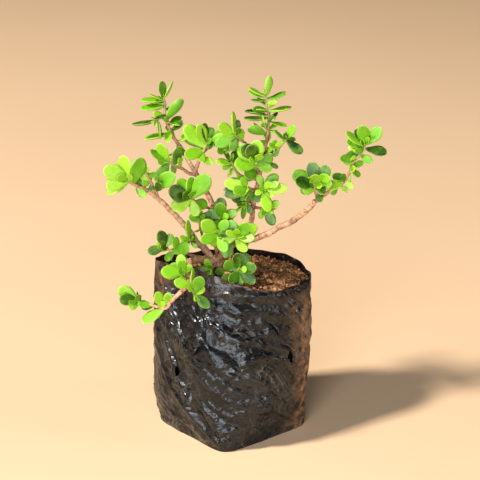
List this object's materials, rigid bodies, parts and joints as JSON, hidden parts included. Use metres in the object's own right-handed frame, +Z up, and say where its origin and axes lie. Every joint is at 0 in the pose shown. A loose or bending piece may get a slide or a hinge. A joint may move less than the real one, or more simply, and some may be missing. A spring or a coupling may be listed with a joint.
{
  "type": "potted jade plant",
  "caption": "Small-leaved jade plant: woody branching stems with fleshy rounded leaves, growing in soil in a crumpled black film grow bag.",
  "frame": {"origin": "middle of the bag's flat base, on the surface it stands on", "axes": "+Z up, -Y towards the front that the picture shows, +X to its right"},
  "size_m": [0.2058, 0.1301, 0.2697],
  "materials": {
    "bag_film": "glossy crumpled film",
    "soil": "rough, granular",
    "bark": "rough",
    "leaf": "smooth, waxy"
  },
  "bodies": {
    "root": {"grow_bag": "bag_film", "soil": "soil", "main_stem": "bark", "second_stem": "bark", "shoot_far_left": "leaf", "shoot_left_limb": "leaf", "shoot_left_inner": "leaf", "shoot_left_top": "leaf", "shoot_left_crown": "leaf", "shoot_middle_left": "leaf", "shoot_middle_low": "leaf", "shoot_limb_spur": "leaf", "shoot_centre_low": "leaf", "shoot_centre_mid": "leaf", "shoot_centre_front": "leaf", "shoot_foot": "leaf", "shoot_trunk_left": "leaf", "shoot_rim_left": "leaf", "shoot_over_rim": "leaf", "shoot_spill_right": "leaf", "shoot_spill_left": "leaf", "shoot_right_top": "leaf", "shoot_right_side": "leaf", "shoot_crown_front": "leaf", "shoot_inner_left": "leaf", "shoot_inner_top": "leaf", "shoot_drop_left": "leaf", "shoot_stem_left": "leaf", "shoot_drop_right": "leaf", "shoot_stem_right": "leaf", "shoot_long_end": "leaf", "shoot_long_tip": "leaf"}
  },
  "joints": []
}
